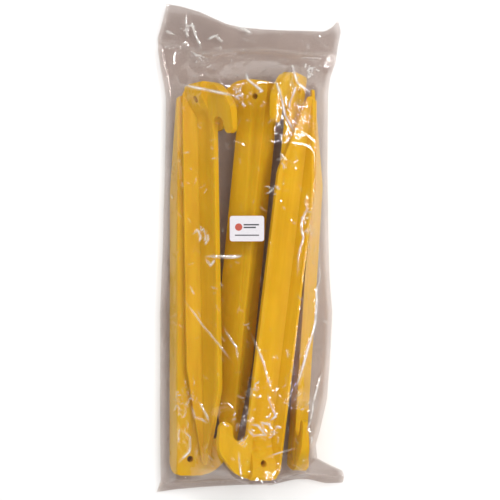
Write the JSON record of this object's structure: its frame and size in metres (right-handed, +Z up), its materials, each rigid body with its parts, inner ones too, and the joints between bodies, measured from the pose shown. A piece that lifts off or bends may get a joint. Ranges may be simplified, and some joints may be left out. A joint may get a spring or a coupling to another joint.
{
  "type": "pack of plastic tent pegs",
  "caption": "Moulded plastic tent pegs with hooked heads, loose and packed head to tail in a clear heat-sealed pillow bag with a small blank-marked label.",
  "frame": {"origin": "centre of the bounding box on the plane that the pack lies on", "axes": "+Y runs along the bag towards the header flap, +Z is up out of the front film, +X runs across the bag"},
  "size_m": [0.16, 0.3926, 0.0559],
  "materials": {
    "peg_plastic": "warm yellow injection-moulded plastic, semi-gloss, slightly translucent",
    "clear_film": "thin clear polythene film, glossy, creased",
    "sticker_paper": null
  },
  "bodies": {
    "bag": {"bag_front_film": "clear_film", "bag_back_film": "clear_film", "bag_header_seal": "clear_film", "bag_foot_seal": "clear_film", "label_sticker": "sticker_paper"},
    "peg_left_lower": {"peg_left_lower": "peg_plastic"},
    "peg_middle_lower": {"peg_middle_lower": "peg_plastic"},
    "peg_right_upper": {"peg_right_upper": "peg_plastic"},
    "peg_right_lower": {"peg_right_lower": "peg_plastic"},
    "peg_left_upper": {"peg_left_upper": "peg_plastic"},
    "peg_front": {"peg_front": "peg_plastic"}
  },
  "joints": [
    {"name": "left_lower_shift", "type": "slide", "parent": "bag", "child": "peg_left_lower", "axis": [0, 0.9998, -0.0174], "range_m": [-0.003, 0.008]},
    {"name": "middle_lower_shift", "type": "slide", "parent": "bag", "child": "peg_middle_lower", "axis": [0.0975, 0.9946, 0.0349], "range_m": [-0.004, 0.012]},
    {"name": "right_upper_shift", "type": "slide", "parent": "bag", "child": "peg_right_upper", "axis": [0.1045, 0.9945, 0], "range_m": [-0.012, 0.006]},
    {"name": "right_lower_shift", "type": "slide", "parent": "bag", "child": "peg_right_lower", "axis": [0.0628, 0.998, 0], "range_m": [-0.006, 0.01]},
    {"name": "left_upper_shift", "type": "slide", "parent": "bag", "child": "peg_left_upper", "axis": [-0.0174, 0.9997, -0.0174], "range_m": [-0.009, 0.006]},
    {"name": "front_shift", "type": "slide", "parent": "bag", "child": "peg_front", "axis": [0.1184, 0.993, 0], "range_m": [-0.003, 0.009]}
  ]
}
